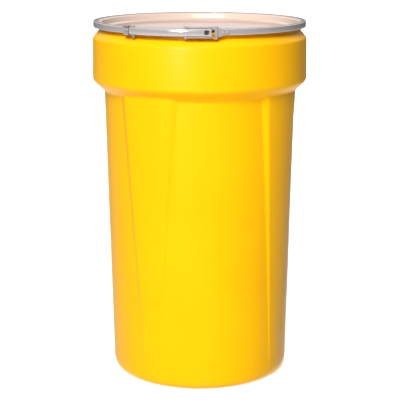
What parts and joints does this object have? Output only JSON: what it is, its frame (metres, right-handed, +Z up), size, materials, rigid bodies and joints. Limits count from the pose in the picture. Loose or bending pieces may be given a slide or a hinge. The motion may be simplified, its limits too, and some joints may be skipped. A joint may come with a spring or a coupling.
{
  "type": "open-head drum",
  "caption": "Tapered open-head plastic drum with a raised collar and raised ribs, a dished lid and a steel lever-lock closing ring.",
  "frame": {"origin": "middle of the base, on the floor", "axes": "+Z up along the drum's axis, -Y to the side with the closing lever"},
  "size_m": [0.5981, 0.6023, 1.0108],
  "materials": {
    "drum_plastic": "moulded satin, bright yellow",
    "lid_plastic": "moulded gloss, pale peach",
    "gasket_rubber": "matt black",
    "ring_steel": "galvanised sheet",
    "pin_steel": "bright zinc plate"
  },
  "bodies": {
    "drum": {"drum_body": "drum_plastic"},
    "lid": {"lid": "lid_plastic", "lid_gasket": "gasket_rubber"},
    "ring_rear": {"closing_ring_rear": "ring_steel"},
    "ring_left": {"closing_ring_left": "ring_steel", "pivot_bracket": "ring_steel", "pivot_bracket_rivets": "pin_steel", "lever_pivot_pin": "pin_steel", "keeper_bracket": "ring_steel", "keeper_rivets": "pin_steel"},
    "ring_right": {"closing_ring_right": "ring_steel", "anchor_bracket": "ring_steel", "anchor_bracket_rivets": "pin_steel", "anchor_pin": "pin_steel"},
    "lever": {"lever": "ring_steel", "link_pins": "pin_steel", "link_washers": "pin_steel"},
    "link": {"link_upper": "ring_steel", "link_lower": "ring_steel", "anchor_pin_heads": "pin_steel"},
    "locking_pin": {"locking_pin": "pin_steel"}
  },
  "joints": [
    {"name": "lid_lift", "type": "slide", "parent": "drum", "child": "lid", "axis": [0, 0, 1], "range_m": [0, 0.16]},
    {"name": "ring_lift", "type": "slide", "parent": "drum", "child": "ring_rear", "axis": [0, 0, 1], "range_m": [0, 0.3], "deforming": ["closing_ring_rear", "closing_ring_left", "closing_ring_right"]},
    {"name": "ring_flex_left", "type": "hinge", "parent": "ring_rear", "child": "ring_left", "pos_m": [-0.26284, 0.11895, 0.99175], "axis": [0, 0, -1], "range_deg": [0, 5.1]},
    {"name": "ring_flex_right", "type": "hinge", "parent": "ring_rear", "child": "ring_right", "pos_m": [0.23443, 0.16815, 0.99175], "axis": [0, 0, 1], "range_deg": [0, 5.1]},
    {"name": "lever_swing", "type": "hinge", "parent": "ring_left", "child": "lever", "pos_m": [0.02639, -0.29572, 0.99175], "axis": [0, 0, 1], "range_deg": [0, 140]},
    {"name": "link_swing", "type": "hinge", "parent": "lever", "child": "link", "pos_m": [-0.03551, -0.29346, 0.99175], "axis": [0, 0, -1], "range_deg": [0, 88.6]},
    {"name": "locking_pin_pull", "type": "slide", "parent": "lever", "child": "locking_pin", "axis": [0, 0, 1], "range_m": [0, 0.055], "deforming": ["locking_pin"]}
  ],
  "couplings": [
    {"joint": "ring_flex_left", "follows": "lever_swing", "ratio": 0.036085},
    {"joint": "ring_flex_right", "follows": "lever_swing", "ratio": 0.036085},
    {"joint": "link_swing", "follows": "lever_swing", "ratio": 0.63157}
  ]
}
